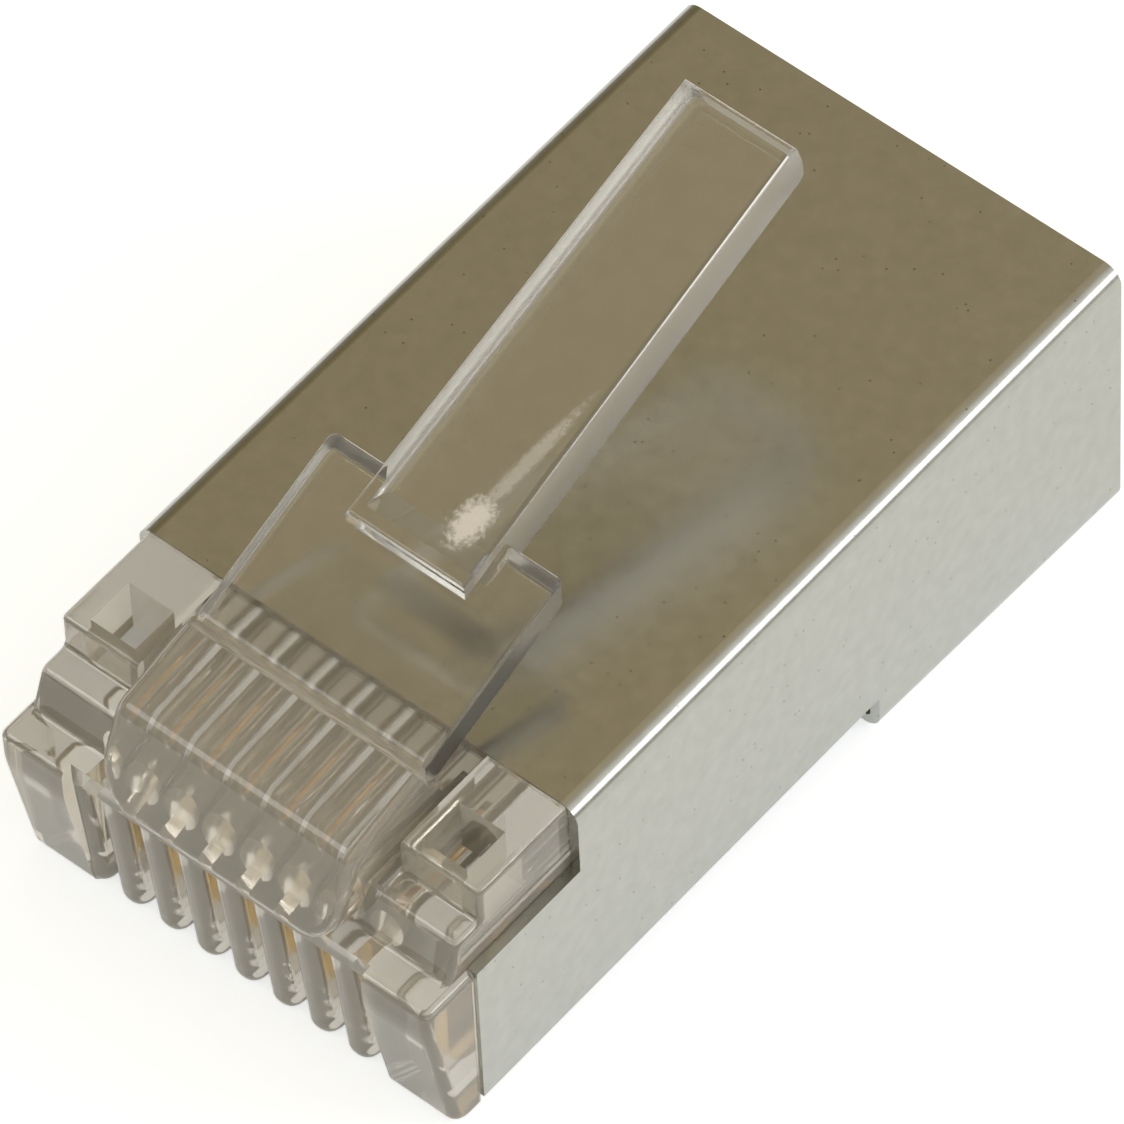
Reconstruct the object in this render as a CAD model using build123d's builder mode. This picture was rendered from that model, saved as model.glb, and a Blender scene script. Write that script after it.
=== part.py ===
from build123d import *
import os
from math import cos, radians, sin, tan

# A shielded eight-position modular plug, latch up, front towards -Y, cable end towards +Y.
# The origin is under the middle of the plug, at the height of its lowest edge.
# A drop is measured down from the top of the shell, and a reach forwards from its front edge.
# A lift is measured up from the foot of the nose. The heel is the cable end, which stands deeper.

# The plug as a whole
plug_width = 11.68
shell_length = 17.57
nose_reach = 4.70
nose_height = 6.78
heel_depth = 1.10
foot_reach = 4.00

# The folded sheet of the shell
sheet = 0.25
bend_radius = 0.45
wing_reach = 3.25
wing_drop = 2.00
wall_lift = 0.43
flap_length = 8.05
flap_seam = 0.25
crimp_window_width = 5.60
crimp_window_length = 3.90
crimp_window_inset = 2.10

# How closely the pieces fit
sheet_fit = 0.02
blade_fit = 0.02
hinge_fit = 0.03

# The front of the moulding
nose_width = 11.50
cheek_corner = 0.25
shoulder_length = 2.75
shoulder_edge = 0.15
shelf_drop = 1.00
shelf_reach = 3.45
shelf_edge = 0.30
toe_step_reach = 3.85
toe_drop = 2.05
toe_radius = 0.20
toe_height = 0.90
face_radius = 3.00
foot_radius = 0.50
comb_margin = 0.25
comb_set_back = 0.30
rib_flat = 0.10

# The well between the shoulders, where the latch springs from its root
well_width = 7.00
well_drop = 0.30
trough_drop = 1.20
trough_inset = 0.45
trough_reach = 3.30
pocket_side = 1.20
pocket_depth = 1.50
pocket_wall = 0.30

# The cable end of the moulding
cable_end_inset = 0.50
step_set_back = 0.35
cavity_width = 9.60
cavity_drop = 1.15
cavity_lift = 0.13
cavity_length = 5.90
cavity_corner = 1.20
funnel_length = 4.40
chamber_width = 8.60
chamber_height = 1.80
chamber_drop = 1.70
chamber_corner = 0.40
chamber_length = 5.27

# The contacts and the wire channels over them
contact_count = 8
contact_pitch = 1.02
blade_thickness = 0.32
blade_length = 3.55
blade_inset = 3.45
sole_drop = 6.00
notch_drop = 3.30
point_drop = 2.75
blade_front_corner = 0.85
blade_rear_corner = 0.30
slot_drop = 2.65
channel_radius = 0.44
channel_drop = 2.42
channel_length = 4.40

# The conductor anchor and the strain relief tongue, on the contact side
anchor_width = 9.00
anchor_length = 1.60
anchor_depth = 1.50
anchor_inset = 2.60
tongue_width = 4.60
tongue_length = 2.80
tongue_inset = 2.80
tongue_hinge = 0.40
tongue_groove = 0.50
tongue_gap = 0.30

# The latch: a plate with a locking shoulder at each side, and a thumb tab that runs on from it
latch_rise = 21.0
latch_width = 6.12
latch_thickness = 0.80
flexure_inset = 1.10
flexure_height = 0.40
lock_distance = 3.05
lock_corner = 0.20
tab_rise = 18.2
tab_start = 1.66
tab_start_height = 2.25
tab_end = 12.45
tab_end_slant = 0.40
tab_thickness = 1.40
tab_width = 3.16
tab_end_width = 2.92
tab_corner = 0.30
tab_under_edge = 0.25
latch_edge = 0.12

# The root that the latch springs from, at the front of the moulding
root_width = 6.40
root_slope = 12.0
brow_reach = 3.80
brow_radius = 0.60
root_front_reach = 4.35
root_front_drop = 0.95
root_toe_reach = 4.65
root_toe_drop = 2.10
root_toe_radius = 0.40
root_toe_slope = 54.5
root_depth = 2.45
root_corner = 1.30
root_edge = 0.30

# Where the main lines lie
front_y = -(nose_reach + shell_length) / 2
edge_y = front_y + nose_reach
rear_y = edge_y + shell_length
foot_y = edge_y - foot_reach
foot_z = heel_depth
top_z = foot_z + nose_height
wing_y = edge_y - wing_reach
flap_y = rear_y - flap_length
nose_rear_y = edge_y - sheet_fit
cable_end_y = rear_y - cable_end_inset
step_y = flap_y + sheet + step_set_back
liner_half = plug_width / 2 - sheet - sheet_fit
liner_top_z = top_z - sheet - sheet_fit
flexure_y = edge_y - flexure_inset
flexure_z = top_z + flexure_height
blade_front_y = edge_y - blade_inset
blade_rear_y = blade_front_y + blade_length
chamber_rear_y = cable_end_y - cavity_length - funnel_length
channel_rear_y = chamber_rear_y - chamber_length
first_contact_x = -(contact_count - 1) / 2 * contact_pitch
contact_x = [first_contact_x + place * contact_pitch for place in range(contact_count)]
floor_slope = foot_z / (rear_y - foot_y)


def floor_z(y):
    """Height of the tilted plane that the plug rests on, which is the underside of the shell."""
    return (rear_y - y) * floor_slope


# The shell is folded from one sheet: a wedge-shaped tube, open at both ends
with BuildPart() as shell:
    with BuildSketch(Plane.YZ):
        with BuildLine():
            Polyline(
                (wing_y, top_z),
                (rear_y, top_z),
                (rear_y, 0),
                (wing_y, floor_z(wing_y)),
                close=True,
            )
        make_face()
    extrude(amount=plug_width / 2, both=True)
    fillet(shell.edges().sort_by(SortBy.LENGTH)[-4:], radius=bend_radius)
    end_faces = shell.faces().sort_by(Axis.Y)
    offset(amount=-sheet, openings=[end_faces[0], end_faces[-1]])

    # The top ends at the front edge, and the sides run on as wings
    with BuildSketch(Plane.YZ):
        with Locations((wing_y, top_z)):
            Rectangle(2 * wing_reach, 2 * wing_drop)
    extrude(amount=plug_width, both=True, mode=Mode.SUBTRACT)

    # Only the cable end is closed underneath, by two flaps
    with BuildSketch(Plane.YZ):
        with Locations((flap_y, foot_z + bend_radius)):
            Rectangle(shell_length, top_z, align=(Align.MAX, Align.MAX))
    extrude(amount=plug_width, both=True, mode=Mode.SUBTRACT)

    # In front of the flaps the walls run straight down to their lower edge
    wall_rest = bend_radius - wall_lift
    for side in (-1, 1):
        with BuildSketch(Plane.YZ.offset(side * plug_width / 2)):
            with Locations((flap_y, foot_z + bend_radius)):
                Rectangle(flap_y - wing_y, wall_rest, align=(Align.MAX, Align.MAX))
        extrude(amount=-side * sheet)

    # The flaps meet along a seam, round the window for the crimping punch
    with BuildSketch(Plane.XY.offset(-sheet)):
        with Locations((0, rear_y)):
            Rectangle(flap_seam, 2 * flap_length + sheet)
        with Locations((0, rear_y - crimp_window_inset)):
            Rectangle(crimp_window_width, crimp_window_length, align=(Align.CENTER, Align.MAX))
    extrude(amount=top_z / 2, mode=Mode.SUBTRACT)

shell.part.label = "shell"


# The root of the latch curls over the front of the nose: its side view, cut to its front view
with BuildPart() as root:
    brow_z = flexure_z + latch_thickness / 2
    brow_front_z = brow_z - (brow_reach - flexure_inset) * tan(radians(root_slope))
    keel_z = top_z - root_toe_drop - (root_toe_reach - flexure_inset) * tan(radians(root_toe_slope))
    with BuildSketch(Plane.YZ):
        with BuildLine():
            FilletPolyline(
                (flexure_y, brow_z),
                (edge_y - brow_reach, brow_front_z),
                (edge_y - root_front_reach, top_z - root_front_drop),
                (edge_y - root_toe_reach, top_z - root_toe_drop),
                (flexure_y, keel_z),
                radius=[0, brow_radius, brow_radius, root_toe_radius, 0],
                close=True,
            )
        make_face()
    extrude(amount=root_width / 2, both=True)
    with BuildSketch(Plane.XZ.offset(-rear_y)):
        with Locations((0, top_z - root_depth)):
            RectangleRounded(
                root_width,
                2 * root_depth + root_width,
                root_corner,
                align=(Align.CENTER, Align.MIN),
            )
    extrude(amount=shell_length + 2 * nose_reach, mode=Mode.INTERSECT)
    bottom_edge = root.faces().sort_by(Axis.Z)[0].edges().sort_by(Axis.Y)[:1]
    outline_edges = root.edges().filter_by(Axis.X, reverse=True).filter_by(Axis.Y, reverse=True)
    front_edges = outline_edges.filter_by(lambda edge: edge.center().Y < flexure_y - hinge_fit)
    fillet(front_edges + bottom_edge, radius=root_edge)


# One rib of the comb, from the roof of the slots to the foot, rounded in front and underneath
slot_width = blade_thickness + 2 * blade_fit
slot_rear_y = blade_rear_y + blade_fit
slot_z = top_z - slot_drop
rib_width = contact_pitch - slot_width
comb_y = front_y + comb_set_back
comb_width = contact_x[-1] - contact_x[0] + slot_width + 2 * comb_margin

with BuildPart() as rib:
    with BuildSketch(Plane.YZ):
        with BuildLine():
            FilletPolyline(
                (slot_rear_y, slot_z),
                (comb_y, slot_z),
                (foot_y, foot_z),
                (slot_rear_y, foot_z),
                radius=[0, 0, foot_radius, 0],
                close=True,
            )
        make_face()
    extrude(amount=rib_width / 2, both=True)
    side_edges = rib.faces().filter_by(Axis.X).edges()
    rounded_edges = side_edges.filter_by(
        lambda edge: edge.center().Y < slot_rear_y - blade_fit and edge.center().Z < slot_z - blade_fit
    )
    fillet(rounded_edges, radius=(rib_width - rib_flat) / 2)


# The cheeks of the nose stand out at each side, in front of the wings of the shell
with BuildPart() as cheeks:
    cheek_y = wing_y - sheet_fit
    with BuildSketch(Plane.YZ):
        with BuildLine():
            FilletPolyline(
                (cheek_y, top_z - toe_drop),
                (front_y, top_z - toe_drop),
                (front_y, top_z - toe_drop - toe_height),
                (foot_y, foot_z),
                (cheek_y, foot_z),
                radius=[0, toe_radius, face_radius, foot_radius, 0],
                close=True,
            )
        make_face()
    extrude(amount=nose_width / 2, both=True)
    side_edges = cheeks.faces().filter_by(Axis.X).edges()
    cheek_edges = side_edges.filter_by(lambda edge: edge.center().Y < cheek_y - sheet_fit)
    fillet(cheek_edges, radius=cheek_corner)


# The housing is one clear moulding, with a nose in front of the shell and a body inside it
with BuildPart() as housing:
    with BuildSketch(Plane.YZ):
        with BuildLine():
            FilletPolyline(
                (nose_rear_y, top_z),
                (edge_y - shoulder_length, top_z),
                (edge_y - shoulder_length, top_z - shelf_drop),
                (edge_y - shelf_reach, top_z - shelf_drop),
                (edge_y - toe_step_reach, top_z - toe_drop),
                (front_y, top_z - toe_drop),
                (front_y, top_z - toe_drop - toe_height),
                (foot_y, foot_z),
                (nose_rear_y, foot_z),
                radius=[
                    0,
                    shoulder_edge,
                    shoulder_edge,
                    shelf_edge,
                    toe_radius,
                    toe_radius,
                    face_radius,
                    foot_radius,
                    0,
                ],
                close=True,
            )
        make_face()
    extrude(amount=liner_half, both=True)
    nose_edges = housing.faces().filter_by(Axis.X).edges()
    front_edges = nose_edges.filter_by(lambda edge: edge.center().Y < nose_rear_y - sheet_fit)
    fillet(front_edges, radius=shoulder_edge)
    add(cheeks.part)

    # The body fills the shell, and is deeper where the flaps close it
    with BuildSketch(Plane.YZ):
        with BuildLine():
            Polyline(
                (cable_end_y, liner_top_z),
                (nose_rear_y - sheet, liner_top_z),
                (nose_rear_y - sheet, foot_z),
                (step_y, foot_z),
                (step_y, floor_z(step_y) + sheet + sheet_fit),
                (cable_end_y, floor_z(cable_end_y) + sheet + sheet_fit),
                close=True,
            )
        make_face()
    extrude(amount=liner_half, both=True)
    liner_top = housing.faces().filter_by(Axis.Z).group_by(Axis.Z)[-2]
    liner_floor = housing.faces().sort_by(Axis.Z)[0]
    liner_edges = liner_top.edges().filter_by(Axis.Y) + liner_floor.edges().filter_by(Axis.X, reverse=True)
    fillet(liner_edges, radius=bend_radius - sheet + sheet_fit)

    # The comb stands back from the toe
    with BuildSketch(Plane.YZ):
        with BuildLine():
            Polyline(
                (front_y - nose_reach, top_z - shelf_drop),
                (comb_y, top_z - shelf_drop),
                (comb_y, slot_z),
                (foot_y, foot_z),
                (front_y - nose_reach, foot_z),
                close=True,
            )
        make_face()
    extrude(amount=comb_width / 2, both=True, mode=Mode.SUBTRACT)

    # The well between the shoulders, with a trough at each side of the root
    with BuildSketch(Plane.XY.offset(top_z - well_drop)):
        with Locations((0, nose_rear_y)):
            Rectangle(well_width, shelf_reach, align=(Align.CENTER, Align.MAX))
    extrude(amount=top_z, mode=Mode.SUBTRACT)
    add(root.part)
    trough_width = (well_width - root_width) / 2
    with BuildSketch(Plane.XY.offset(top_z - trough_drop)):
        with Locations((root_width / 2, edge_y - trough_inset), (-well_width / 2, edge_y - trough_inset)):
            Rectangle(trough_width, trough_reach - trough_inset, align=(Align.MIN, Align.MAX))
    extrude(amount=top_z, mode=Mode.SUBTRACT)

    # A pocket cores out each shoulder
    with BuildSketch(Plane.XY.offset(top_z - pocket_depth)):
        pocket_x = well_width / 2 + pocket_wall + pocket_side / 2
        pocket_y = edge_y - shoulder_length + pocket_wall + pocket_side / 2
        with Locations((pocket_x, pocket_y), (-pocket_x, pocket_y)):
            Rectangle(pocket_side, pocket_side)
    extrude(amount=top_z, mode=Mode.SUBTRACT)

    # The rounded seat of the flexure
    with BuildSketch(Plane.YZ):
        with Locations((flexure_y, flexure_z)):
            Circle(latch_thickness / 2 + hinge_fit)
    extrude(amount=root_width / 2, both=True, mode=Mode.SUBTRACT)

    # The cable cavity narrows through a funnel to the wire chamber
    cavity_floor_z = foot_z + cavity_lift
    cavity_height = top_z - cavity_drop - cavity_floor_z
    cavity_z = cavity_floor_z + cavity_height / 2
    chamber_z = top_z - chamber_drop - chamber_height / 2
    with BuildSketch(Plane.XZ.offset(-cable_end_y)):
        with Locations((0, cavity_z)):
            RectangleRounded(cavity_width, cavity_height, cavity_corner)
    extrude(amount=cavity_length, mode=Mode.SUBTRACT)
    with BuildSketch(Plane.XZ.offset(-(cable_end_y - cavity_length))):
        with Locations((0, cavity_z)):
            RectangleRounded(cavity_width, cavity_height, cavity_corner)
    with BuildSketch(Plane.XZ.offset(-chamber_rear_y)):
        with Locations((0, chamber_z)):
            RectangleRounded(chamber_width, chamber_height, chamber_corner)
    loft(mode=Mode.SUBTRACT)
    with BuildSketch(Plane.XZ.offset(-chamber_rear_y)):
        with Locations((0, chamber_z)):
            RectangleRounded(chamber_width, chamber_height, chamber_corner)
    extrude(amount=chamber_length, mode=Mode.SUBTRACT)

    # A rib stands at each side of each contact's slot, and the outer two lean on the cheeks
    with BuildSketch(Plane.XY.offset(slot_z)):
        with Locations((0, slot_rear_y)):
            Rectangle(comb_width, slot_rear_y - front_y + nose_reach, align=(Align.CENTER, Align.MAX))
    extrude(amount=-slot_z, mode=Mode.SUBTRACT)
    for x in [first_contact_x - contact_pitch, *contact_x]:
        add(rib.part.moved(Location((x + contact_pitch / 2, 0, 0))))

    # Eight wire channels lead on from the chamber, each over the slot of its contact
    with BuildSketch(Plane.XZ.offset(-channel_rear_y)):
        with Locations(*[(x, top_z - channel_drop) for x in contact_x]):
            Circle(channel_radius)
    extrude(amount=channel_length, mode=Mode.SUBTRACT)

    # The conductor anchor's window
    with BuildSketch(Plane.XY.offset(foot_z)):
        with Locations((0, edge_y + anchor_inset)):
            Rectangle(anchor_width, anchor_length, align=(Align.CENTER, Align.MIN))
    extrude(amount=anchor_depth, mode=Mode.SUBTRACT)

    # The strain relief tongue hangs on a thin web, and is cut free on its other three sides
    tongue_y = rear_y - tongue_inset
    with BuildSketch(Plane.XY.offset(-sheet)):
        with Locations((0, tongue_y)):
            Rectangle(tongue_width + 2 * tongue_gap, tongue_length, align=(Align.CENTER, Align.MAX))
        with Locations((0, tongue_y - tongue_gap)):
            Rectangle(tongue_width, tongue_length, align=(Align.CENTER, Align.MAX), mode=Mode.SUBTRACT)
    extrude(amount=cavity_z, mode=Mode.SUBTRACT)
    with BuildSketch(Plane.XY.offset(cavity_floor_z - tongue_hinge)):
        with Locations((0, tongue_y - tongue_length)):
            Rectangle(tongue_width, tongue_groove, align=(Align.CENTER, Align.MIN))
    extrude(amount=-top_z, mode=Mode.SUBTRACT)

housing.part.label = "housing"


# The thumb tab is a thick bar, which rises a little less steeply than the plate it grows from
lock_y = edge_y + lock_distance
tab_y = edge_y + tab_start
tab_z = top_z + tab_start_height
tail_y = edge_y + tab_end
tab_slope = tan(radians(tab_rise))
tab_depth = tab_thickness / cos(radians(tab_rise))

with BuildPart() as tab:
    with BuildSketch(Plane.YZ):
        with BuildLine():
            Polyline(
                (tab_y, tab_z),
                (tail_y, tab_z + (tail_y - tab_y) * tab_slope),
                (tail_y + tab_end_slant, tab_z + (tail_y + tab_end_slant - tab_y) * tab_slope - tab_depth),
                (lock_y, tab_z + (lock_y - tab_y) * tab_slope - tab_depth),
                (tab_y, flexure_z + (tab_y - flexure_y) * tan(radians(latch_rise))),
                close=True,
            )
        make_face()
    extrude(amount=tab_width / 2, both=True)
    with BuildSketch(Plane.XY):
        with BuildLine():
            FilletPolyline(
                (-tab_width / 2, tab_y),
                (tab_width / 2, tab_y),
                (tab_end_width / 2, tail_y + tab_end_slant),
                (-tab_end_width / 2, tail_y + tab_end_slant),
                radius=[0, 0, tab_corner, tab_corner],
                close=True,
            )
        make_face()
    extrude(amount=tab_z + shell_length, mode=Mode.INTERSECT)
    tab_underside = tab.faces().sort_by(SortBy.AREA)[-2]
    fillet(tab_underside.edges().sort_by(SortBy.LENGTH)[-2:], radius=tab_under_edge)
    tab_top = tab.faces().sort_by(SortBy.AREA)[-1]
    fillet(tab_top.edges(), radius=latch_edge)


# The latch's plate springs from the flexure, and ends in two upright locking faces
with BuildPart() as latch:
    half_thickness = latch_thickness / 2
    rise = radians(latch_rise)
    lock_z = flexure_z + (lock_y - flexure_y) * tan(rise)
    with BuildSketch(Plane.YZ):
        with BuildLine():
            Polyline(
                (flexure_y - half_thickness * sin(rise), flexure_z + half_thickness * cos(rise)),
                (lock_y, lock_z + half_thickness / cos(rise)),
                (lock_y, lock_z - half_thickness / cos(rise)),
                (flexure_y + half_thickness * sin(rise), flexure_z - half_thickness * cos(rise)),
                close=True,
            )
        make_face()
        with Locations((flexure_y, flexure_z)):
            Circle(half_thickness)
    extrude(amount=latch_width / 2, both=True)
    lock_face = latch.faces().sort_by(Axis.Y)[-1]
    fillet(lock_face.edges().filter_by(Axis.Z), radius=lock_corner)
    plate_sides = latch.faces().filter_by(Axis.X)
    fillet(plate_sides.edges().filter_by(Axis.Z, reverse=True), radius=latch_edge)
    add(tab.part)

latch.part.label = "latch"


# Each contact is a stamped blade with two points, which pierce the wire over it
contacts = []
for place, x in enumerate(contact_x, start=1):
    with BuildPart() as contact:
        with BuildSketch(Plane.YZ.offset(x)):
            with BuildLine():
                FilletPolyline(
                    (blade_front_y, top_z - sole_drop),
                    (blade_front_y, top_z - notch_drop),
                    (blade_front_y + blade_length / 4, top_z - point_drop),
                    (blade_front_y + blade_length / 2, top_z - notch_drop),
                    (blade_rear_y - blade_length / 4, top_z - point_drop),
                    (blade_rear_y, top_z - notch_drop),
                    (blade_rear_y, top_z - sole_drop),
                    radius=[blade_front_corner, 0, 0, 0, 0, 0, blade_rear_corner],
                    close=True,
                )
            make_face()
        extrude(amount=blade_thickness / 2, both=True)
    contact.part.label = f"contact_{place}"
    contacts.append(contact.part)


os.makedirs("parts", exist_ok=True)
for piece in [housing.part, latch.part, shell.part, *contacts]:
    export_step(piece, f"parts/{piece.label}.step")
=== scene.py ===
from math import atan, cos, radians, sin

import bmesh
import bpy
from mathutils import Matrix, Vector


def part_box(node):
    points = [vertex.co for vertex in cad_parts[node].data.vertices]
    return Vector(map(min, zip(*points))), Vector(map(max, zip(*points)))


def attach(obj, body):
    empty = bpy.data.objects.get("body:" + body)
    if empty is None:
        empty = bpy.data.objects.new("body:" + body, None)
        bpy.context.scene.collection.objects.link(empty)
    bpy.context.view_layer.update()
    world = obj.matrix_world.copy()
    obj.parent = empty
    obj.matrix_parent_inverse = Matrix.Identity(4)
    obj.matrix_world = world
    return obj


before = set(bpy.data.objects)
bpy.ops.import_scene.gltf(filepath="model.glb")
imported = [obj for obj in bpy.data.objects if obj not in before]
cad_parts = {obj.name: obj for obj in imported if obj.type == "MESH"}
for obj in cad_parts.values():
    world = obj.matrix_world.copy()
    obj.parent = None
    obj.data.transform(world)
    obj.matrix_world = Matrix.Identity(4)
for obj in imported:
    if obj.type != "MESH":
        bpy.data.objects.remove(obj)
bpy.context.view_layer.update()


# The housing is one injection moulding of clear polycarbonate, polished at the front and
# a little wavy where the melt cooled. The latch springs from its front edge, and the body
# behind the front edge is pushed into the shell.
def surface_group():
    """The slow waves, fine grain and scattered specks that every surface of the plug has."""
    group = bpy.data.node_groups.new("moulded_and_plated_surface", "ShaderNodeTree")
    for name, value in (("Wave Size", 1.0), ("Grain Size", 1.0), ("Speck Share", 0.1)):
        socket = group.interface.new_socket(name, in_out="INPUT", socket_type="NodeSocketFloat")
        socket.default_value = value
    for name in ("Waves", "Grain", "Specks"):
        group.interface.new_socket(name, in_out="OUTPUT", socket_type="NodeSocketFloat")
    nodes, links = group.nodes, group.links
    entry = nodes.new("NodeGroupInput")
    exit_node = nodes.new("NodeGroupOutput")
    place = nodes.new("ShaderNodeTexCoord")

    waves = nodes.new("ShaderNodeTexNoise")
    waves.inputs["Detail"].default_value = 2.0
    links.new(place.outputs["Object"], waves.inputs["Vector"])
    links.new(entry.outputs["Wave Size"], waves.inputs["Scale"])
    links.new(waves.outputs["Fac"], exit_node.inputs["Waves"])

    grain = nodes.new("ShaderNodeTexNoise")
    grain.inputs["Detail"].default_value = 4.0
    links.new(place.outputs["Object"], grain.inputs["Vector"])
    links.new(entry.outputs["Grain Size"], grain.inputs["Scale"])
    links.new(grain.outputs["Fac"], exit_node.inputs["Grain"])

    specks = nodes.new("ShaderNodeTexVoronoi")
    links.new(place.outputs["Object"], specks.inputs["Vector"])
    links.new(entry.outputs["Grain Size"], specks.inputs["Scale"])
    near = nodes.new("ShaderNodeMath")
    near.operation = "LESS_THAN"
    links.new(specks.outputs["Distance"], near.inputs[0])
    links.new(entry.outputs["Speck Share"], near.inputs[1])
    links.new(near.outputs["Value"], exit_node.inputs["Specks"])
    return group


surface = surface_group()


def material_with_surface(name, wave_size, grain_size, speck_share):
    """A new material, its Principled shader, and the shared surface set to its own sizes."""
    material = bpy.data.materials.new(name)
    material.use_nodes = True
    nodes = material.node_tree.nodes
    shader = nodes["Principled BSDF"]
    relief = nodes.new("ShaderNodeGroup")
    relief.node_tree = surface
    relief.inputs["Wave Size"].default_value = wave_size
    relief.inputs["Grain Size"].default_value = grain_size
    relief.inputs["Speck Share"].default_value = speck_share
    return material, shader, relief


def link_range(material, source, low, high, target):
    """Maps a 0 to 1 mask to a range, and feeds it to a socket."""
    spread = material.node_tree.nodes.new("ShaderNodeMapRange")
    spread.inputs["To Min"].default_value = low
    spread.inputs["To Max"].default_value = high
    material.node_tree.links.new(source, spread.inputs["Value"])
    material.node_tree.links.new(spread.outputs["Result"], target)


def link_bump(material, source, strength, depth, shader):
    """A bump of the given depth, in metres."""
    bump = material.node_tree.nodes.new("ShaderNodeBump")
    bump.inputs["Strength"].default_value = strength
    bump.inputs["Distance"].default_value = depth
    material.node_tree.links.new(source, bump.inputs["Height"])
    material.node_tree.links.new(bump.outputs["Normal"], shader.inputs["Normal"])


def math_node(material, operation, first, second=0.0, third=0.0):
    """The output of a new Math node. Each input is a number or another node's output."""
    node = material.node_tree.nodes.new("ShaderNodeMath")
    node.operation = operation
    for socket, value in zip(node.inputs, (first, second, third)):
        if isinstance(value, float):
            socket.default_value = value
        else:
            material.node_tree.links.new(value, socket)
    return node.outputs["Value"]


def own_parts(owner, kind):
    """The X, Y and Z outputs of a coordinate, in the nodes of a material or of the world."""
    place = owner.node_tree.nodes.new("ShaderNodeTexCoord")
    parts = owner.node_tree.nodes.new("ShaderNodeSeparateXYZ")
    owner.node_tree.links.new(place.outputs[kind], parts.inputs["Vector"])
    return parts.outputs


def fade_between(material, source, empty, full):
    """A mask that rises smoothly from 0 to 1 between two values."""
    fade = material.node_tree.nodes.new("ShaderNodeMapRange")
    fade.interpolation_type = "SMOOTHSTEP"
    fade.inputs["From Min"].default_value = empty
    fade.inputs["From Max"].default_value = full
    material.node_tree.links.new(source, fade.inputs["Value"])
    return fade.outputs["Result"]


def mix_tones(owner, mask, first, second):
    """The first colour where the mask is 0, and the second where it is 1.

    Each one is red, green and blue, or another node's output."""
    mix = owner.node_tree.nodes.new("ShaderNodeMix")
    mix.data_type = "RGBA"
    owner.node_tree.links.new(mask, mix.inputs["Factor"])
    for name, tone in (("A", first), ("B", second)):
        if isinstance(tone, tuple):
            mix.inputs[name].default_value = (*tone, 1.0)
        else:
            owner.node_tree.links.new(tone, mix.inputs[name])
    return mix.outputs["Result"]


plastic, plastic_shader, plastic_relief = material_with_surface(
    "clear_polycarbonate", wave_size=420.0, grain_size=9000.0, speck_share=0.05
)
plastic_shader.inputs["IOR"].default_value = 1.585
plastic_shader.inputs["Transmission Weight"].default_value = 0.76
plastic_waves = plastic_relief.outputs["Waves"]
link_range(plastic, plastic_waves, low=0.03, high=0.11, target=plastic_shader.inputs["Roughness"])
link_bump(plastic, plastic_waves, strength=0.25, depth=0.00004, shader=plastic_shader)

# Painted light: the front of the root and the comb below it are painted paler than the rest, to stand in
# for the brighter light seen through them
plastic_place = own_parts(plastic, "Object")
from_middle = math_node(plastic, "ABSOLUTE", plastic_place["X"])
between_cheeks = fade_between(plastic, from_middle, empty=0.0044, full=0.0040)
towards_toe = fade_between(plastic, plastic_place["Y"], empty=-0.0086, full=-0.0104)
painted_light_front = math_node(plastic, "MULTIPLY", between_cheeks, towards_toe)
plastic_tone_with_painted_light = mix_tones(plastic, painted_light_front, (0.87, 0.83, 0.745), (1.0, 0.96, 0.87))
plastic.node_tree.links.new(plastic_tone_with_painted_light, plastic_shader.inputs["Base Color"])
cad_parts["housing"].material_slots[0].material = plastic


# The latch grows from the same moulding. It is thin and well polished, so it is clearer than
# the block of the housing behind it. The narrow faces round its edge are satin.
latch_plastic, latch_shader, latch_relief = material_with_surface(
    "polished_polycarbonate", wave_size=300.0, grain_size=9000.0, speck_share=0.05
)
latch_shader.inputs["IOR"].default_value = 1.585
latch_shader.inputs["Transmission Weight"].default_value = 0.975
link_bump(latch_plastic, latch_relief.outputs["Waves"], strength=0.2, depth=0.00003, shader=latch_shader)

# The narrow faces are upright: all those at the sides, and those behind the tab's front step
step_y = -0.0046
latch_place = own_parts(latch_plastic, "Object")
latch_normal = own_parts(latch_plastic, "Normal")
up_or_down = math_node(latch_plastic, "ABSOLUTE", latch_normal["Z"])
sideways = math_node(latch_plastic, "ABSOLUTE", latch_normal["X"])
upright_faces = fade_between(latch_plastic, up_or_down, empty=0.75, full=0.35)
side_faces = fade_between(latch_plastic, sideways, empty=0.30, full=0.60)
behind_step = math_node(latch_plastic, "GREATER_THAN", latch_place["Y"], step_y)
side_or_behind = math_node(latch_plastic, "MAXIMUM", side_faces, behind_step)
satin = math_node(latch_plastic, "MULTIPLY", side_or_behind, upright_faces)
latch_tone = mix_tones(latch_plastic, satin, (0.99, 0.98, 0.955), (0.94, 0.93, 0.89))
latch_plastic.node_tree.links.new(latch_tone, latch_shader.inputs["Base Color"])
link_range(latch_plastic, satin, low=0.08, high=0.42, target=latch_shader.inputs["Roughness"])
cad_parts["latch"].material_slots[0].material = latch_plastic
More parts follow.
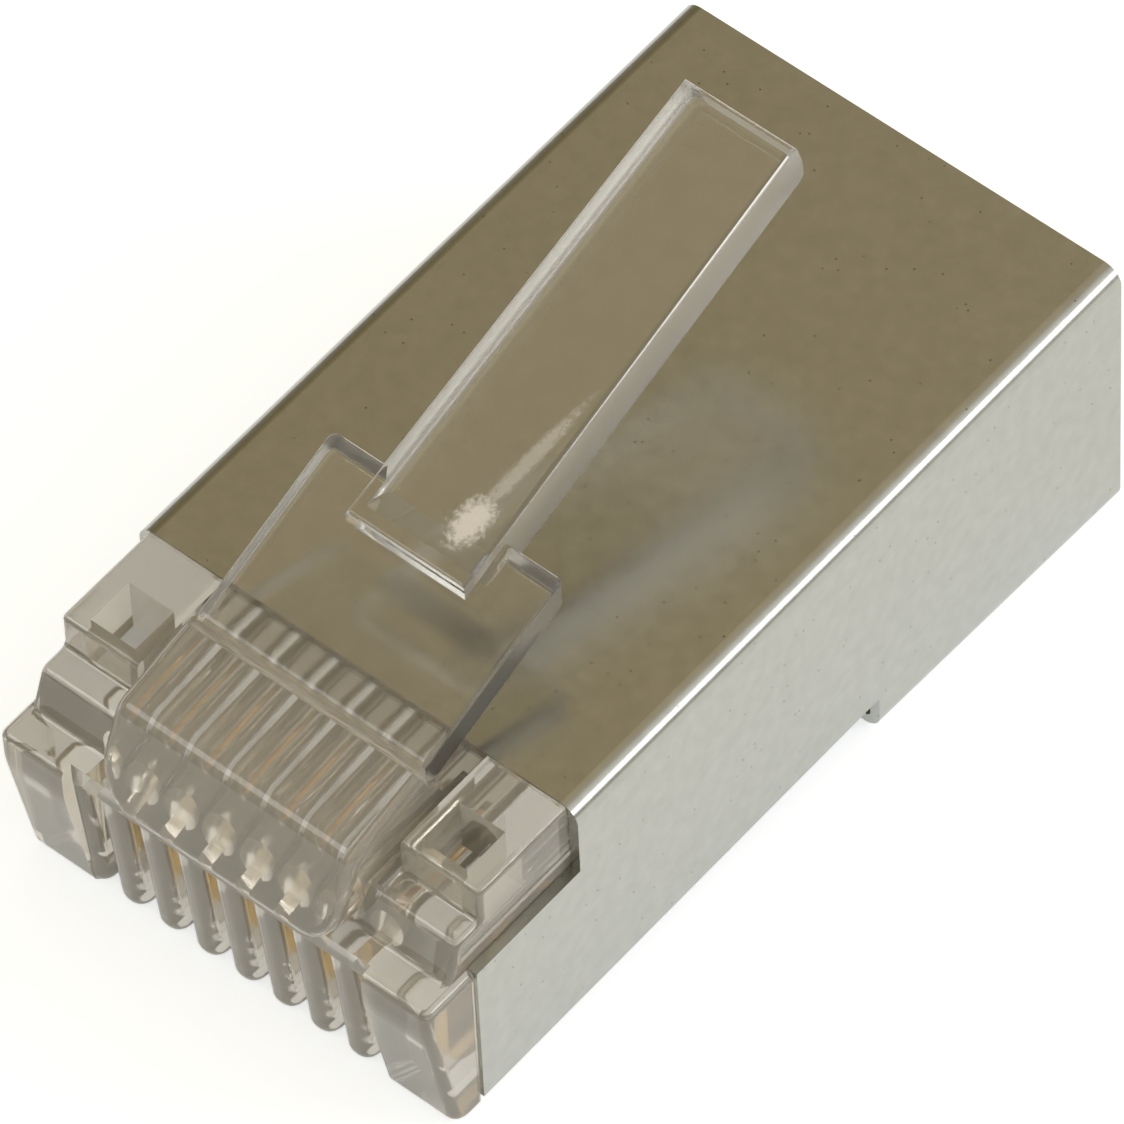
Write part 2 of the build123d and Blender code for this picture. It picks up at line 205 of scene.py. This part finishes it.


# A painted highlight: a thin, rough, whitish patch laid over the foot of the thumb tab, with a faint trail
# along the tab behind it, stands in for a bright sheen there.
tab_front = Vector((0.0, -0.004775, 0.01013))
tab_rise = radians(18.2)
painted_sheen_size = (0.00118, 0.0052, 0.000012)
painted_sheen_corner = 0.0005
painted_sheen_centre_on_tab = (0.00079, 0.0028, 0.000004)
painted_sheen_turn = radians(-8)
painted_sheen_mesh = bpy.data.meshes.new("painted_sheen_patch")
painted_sheen_bmesh = bmesh.new()
bmesh.ops.create_cube(painted_sheen_bmesh, size=1.0)
bmesh.ops.scale(painted_sheen_bmesh, verts=painted_sheen_bmesh.verts, vec=painted_sheen_size)
upright_edges = [edge for edge in painted_sheen_bmesh.edges if edge.verts[0].co.xy == edge.verts[1].co.xy]
bmesh.ops.bevel(
    painted_sheen_bmesh,
    geom=upright_edges,
    offset=painted_sheen_corner,
    segments=8,
    profile=0.5,
    affect="EDGES",
    material=-1,
)
bmesh.ops.translate(painted_sheen_bmesh, verts=painted_sheen_bmesh.verts, vec=painted_sheen_centre_on_tab)
bmesh.ops.rotate(painted_sheen_bmesh, verts=painted_sheen_bmesh.verts, matrix=Matrix.Rotation(tab_rise, 3, "X"))
bmesh.ops.translate(painted_sheen_bmesh, verts=painted_sheen_bmesh.verts, vec=tab_front)
painted_sheen_bmesh.to_mesh(painted_sheen_mesh)
painted_sheen_bmesh.free()
painted_sheen_piece = bpy.data.objects.new("painted_sheen_patch", painted_sheen_mesh)
bpy.context.scene.collection.objects.link(painted_sheen_piece)

# The patch's material paints the sheen: pale and rough, with its outline drawn by Alpha.
painted_sheen_material, painted_sheen_shader, painted_sheen_relief = material_with_surface(
    "painted_sheen_on_tab", wave_size=900.0, grain_size=9000.0, speck_share=0.05
)
painted_sheen_nodes, painted_sheen_links = painted_sheen_material.node_tree.nodes, painted_sheen_material.node_tree.links
painted_sheen_place = painted_sheen_nodes.new("ShaderNodeTexCoord")
painted_sheen_grain = painted_sheen_relief.outputs["Grain"]


def painted_sheen_oval(centre_x, centre_y, half_width, half_length):
    """A mask of an oval of painted sheen on the tab, seen from above. It fades out at a ragged edge."""
    oval = painted_sheen_nodes.new("ShaderNodeMapping")
    oval.vector_type = "TEXTURE"
    oval.inputs["Location"].default_value = (centre_x, centre_y, 0.0)
    oval.inputs["Rotation"].default_value = (0.0, 0.0, painted_sheen_turn)
    oval.inputs["Scale"].default_value = (half_width, half_length, 1.0)
    painted_sheen_links.new(painted_sheen_place.outputs["Object"], oval.inputs["Vector"])
    flat = painted_sheen_nodes.new("ShaderNodeVectorMath")
    flat.operation = "MULTIPLY"
    flat.inputs[1].default_value = (1.0, 1.0, 0.0)
    painted_sheen_links.new(oval.outputs["Vector"], flat.inputs[0])
    reach = painted_sheen_nodes.new("ShaderNodeVectorMath")
    reach.operation = "LENGTH"
    painted_sheen_links.new(flat.outputs["Vector"], reach.inputs[0])
    ragged_reach = math_node(painted_sheen_material, "MULTIPLY_ADD", painted_sheen_grain, 1.2, reach.outputs["Value"])
    return fade_between(painted_sheen_material, ragged_reach, empty=1.75, full=1.0)


# Painted highlight: a whitish spot near the front of the tab, and a fainter trail behind it.
painted_sheen_spot = painted_sheen_oval(centre_x=0.00080, centre_y=-0.00360, half_width=0.00042, half_length=0.00070)
painted_sheen_trail = painted_sheen_oval(centre_x=0.00098, centre_y=-0.00215, half_width=0.00020, half_length=0.00190)
faint_painted_sheen_trail = math_node(painted_sheen_material, "MULTIPLY", painted_sheen_trail, 0.40)
painted_sheen_spot_and_trail = math_node(painted_sheen_material, "MAXIMUM", painted_sheen_spot, faint_painted_sheen_trail)
painted_sheen_links.new(math_node(painted_sheen_material, "MULTIPLY", painted_sheen_spot_and_trail, 0.95), painted_sheen_shader.inputs["Alpha"])
painted_sheen_tone = mix_tones(painted_sheen_material, painted_sheen_grain, (0.88, 0.85, 0.79), (1.0, 0.97, 0.92))
painted_sheen_links.new(painted_sheen_tone, painted_sheen_shader.inputs["Base Color"])
link_range(painted_sheen_material, painted_sheen_grain, low=0.45, high=0.65, target=painted_sheen_shader.inputs["Roughness"])
painted_sheen_piece.data.materials.append(painted_sheen_material)
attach(painted_sheen_piece, "latch")


# The shell is folded from one sheet of brass, plated bright with nickel. The plating is
# warm, and mirrors what is round it, with a faint mottle and a few dark specks.
nickel, nickel_shader, nickel_relief = material_with_surface(
    "bright_nickel_plate", wave_size=160.0, grain_size=2600.0, speck_share=0.07
)
nickel_shader.inputs["Metallic"].default_value = 1.0
nickel_grain = nickel_relief.outputs["Grain"]
mottled_tone = mix_tones(nickel, nickel_grain, (0.43, 0.435, 0.405), (0.55, 0.555, 0.52))
pitted_tone = mix_tones(nickel, nickel_relief.outputs["Specks"], mottled_tone, (0.27, 0.26, 0.225))
nickel.node_tree.links.new(pitted_tone, nickel_shader.inputs["Base Color"])
link_range(nickel, nickel_grain, low=0.20, high=0.27, target=nickel_shader.inputs["Roughness"])
link_bump(nickel, nickel_relief.outputs["Waves"], strength=0.12, depth=0.00004, shader=nickel_shader)
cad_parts["shell"].material_slots[0].material = nickel


# The eight contacts are stamped from copper alloy sheet and plated with gold. Each one is
# pressed into its slot in the comb, with its polished front edge towards the jack.
gold, gold_shader, gold_relief = material_with_surface(
    "gold_plate", wave_size=900.0, grain_size=12000.0, speck_share=0.05
)
gold_shader.inputs["Metallic"].default_value = 1.0
gold_shader.inputs["Base Color"].default_value = (0.93, 0.66, 0.26, 1.0)
gold_grain = gold_relief.outputs["Grain"]
link_range(gold, gold_grain, low=0.16, high=0.26, target=gold_shader.inputs["Roughness"])
link_bump(gold, gold_grain, strength=0.15, depth=0.00001, shader=gold_shader)
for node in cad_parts:
    if node.startswith("contact_"):
        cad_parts[node].material_slots[0].material = gold


# The floor is a sheet of white card. The plug rests on the lower edge of its cable end and
# on its foot, so the card lies in the plane through both.
rear_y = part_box("shell")[1].y
resting_slope = min(
    corner.co.z / (rear_y - corner.co.y)
    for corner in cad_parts["housing"].data.vertices
    if corner.co.y < 0
)
card_size = 1.2
card_mesh = bpy.data.meshes.new("white_card")
card_bmesh = bmesh.new()
bmesh.ops.create_grid(card_bmesh, x_segments=1, y_segments=1, size=card_size / 2)
card_tilt = Matrix.Rotation(-atan(resting_slope), 3, "X")
bmesh.ops.rotate(card_bmesh, verts=card_bmesh.verts, matrix=card_tilt)
bmesh.ops.translate(card_bmesh, verts=card_bmesh.verts, vec=(0, 0, rear_y * resting_slope))
card_bmesh.to_mesh(card_mesh)
card_bmesh.free()
card = bpy.data.objects.new("white_card", card_mesh)
bpy.context.scene.collection.objects.link(card)
card_material = bpy.data.materials.new("white_card")
card_material.use_nodes = True
card_nodes = card_material.node_tree.nodes
card_shader = card_nodes["Principled BSDF"]
card_shader.inputs["Base Color"].default_value = (0.72, 0.72, 0.72, 1.0)
card_shader.inputs["Roughness"].default_value = 0.9
card_shader.inputs["Specular IOR Level"].default_value = 0.0
card_shader.inputs["Emission Color"].default_value = (0.95, 0.98, 1.0, 1.0)
seen_by = card_nodes.new("ShaderNodeLightPath")
card_glow = 0.0
for kind_of_ray, glow in (("Is Camera Ray", 0.68), ("Is Glossy Ray", 0.56), ("Is Transmission Ray", 0.06)):
    card_glow = math_node(card_material, "MULTIPLY_ADD", seen_by.outputs[kind_of_ray], glow, card_glow)
card_material.node_tree.links.new(card_glow, card_shader.inputs["Emission Strength"])
card.data.materials.append(card_material)


# The room is pale on the right, up to a dark strip at the far right of the wall. On the
# left it falls off to a dim, warm ceiling, which the top of the shell mirrors to the camera.
world = bpy.data.worlds.new("room")
bpy.context.scene.world = world
world.use_nodes = True
room_nodes, room_links = world.node_tree.nodes, world.node_tree.links
room_direction = own_parts(world, "Generated")


def room_tones(name, tones):
    """Colours across the room, each one at its place between the far left, -1, and the right, 1."""
    across = room_nodes.new("ShaderNodeMapRange")
    across.inputs["From Min"].default_value = -1.0
    across.inputs["From Max"].default_value = 1.0
    room_links.new(room_direction["X"], across.inputs["Value"])
    ramp = room_nodes.new("ShaderNodeValToRGB")
    ramp.name = name
    while len(ramp.color_ramp.elements) < len(tones):
        ramp.color_ramp.elements.new(1.0)
    for element, (place, colour) in zip(ramp.color_ramp.elements, tones):
        element.position = (place + 1) / 2
        element.color = (*colour, 1.0)
    room_links.new(across.outputs["Result"], ramp.inputs["Fac"])
    return ramp.outputs["Color"]


ceiling_tone = room_tones("ceiling", (
    (-0.65, (0.24, 0.19, 0.095)),
    (-0.40, (0.45, 0.368, 0.228)),
    (-0.20, (0.57, 0.48, 0.315)),
    (0.20, (0.56, 0.50, 0.38)),
    (0.40, (0.90, 0.88, 0.83)),
))
wall_tone = room_tones("walls", (
    (-0.70, (0.30, 0.27, 0.20)),
    (-0.20, (0.46, 0.44, 0.38)),
    (0.10, (0.54, 0.51, 0.44)),
    (0.45, (0.80, 0.78, 0.73)),
    (0.84, (0.80, 0.78, 0.73)),
    (0.92, (0.22, 0.18, 0.13)),
))
ceiling_share = room_nodes.new("ShaderNodeMapRange")
ceiling_share.inputs["From Min"].default_value = 0.30
ceiling_share.inputs["From Max"].default_value = 0.48
room_links.new(room_direction["Z"], ceiling_share.inputs["Value"])
room_tone = mix_tones(world, ceiling_share.outputs["Result"], wall_tone, ceiling_tone)
room_links.new(room_tone, room_nodes["Background"].inputs["Color"])


def softbox(name, azimuth, elevation, distance, width, height, power):
    """A flat lamp that faces the plug. Azimuth 0 is at the front, and 90 at the right."""
    lamp = bpy.data.lights.new(name, "AREA")
    lamp.shape = "RECTANGLE"
    lamp.size = width
    lamp.size_y = height
    lamp.energy = power
    stand = bpy.data.objects.new(name, lamp)
    turn, lift = radians(azimuth), radians(elevation)
    away = Vector((sin(turn) * cos(lift), -cos(turn) * cos(lift), sin(lift)))
    stand.location = away * distance
    stand.rotation_euler = away.to_track_quat("Z", "Y").to_euler()
    bpy.context.scene.collection.objects.link(stand)


softbox("lamp_front_left", azimuth=-40, elevation=45, distance=0.8, width=0.25, height=0.25, power=0.5)
softbox("lamp_right", azimuth=125, elevation=26, distance=0.8, width=0.25, height=0.24, power=0.9)


# The camera stands in front, to the right and well above, as the photograph shows the plug.
camera_azimuth = radians(42.126)
camera_elevation = radians(53.513)
camera_roll = radians(-2.873)
camera_distance = 0.28358
aim = Vector((-0.000908, 0.000942, 0.002892))
backwards = Vector((
    sin(camera_azimuth) * cos(camera_elevation),
    -cos(camera_azimuth) * cos(camera_elevation),
    sin(camera_elevation),
))
camera_data = bpy.data.cameras.new("camera")
camera_data.sensor_width = 36.0
camera_data.lens = 436.3
camera_data.clip_start = 0.01
camera = bpy.data.objects.new("camera", camera_data)
camera.location = aim + backwards * camera_distance
turned = Matrix.Rotation(camera_azimuth, 4, "Z")
tipped = Matrix.Rotation(radians(90) - camera_elevation, 4, "X")
rolled = Matrix.Rotation(camera_roll, 4, "Z")
camera.rotation_euler = (turned @ tipped @ rolled).to_euler()
bpy.context.scene.collection.objects.link(camera)
bpy.context.scene.camera = camera

bpy.context.scene.view_settings.view_transform = "Standard"
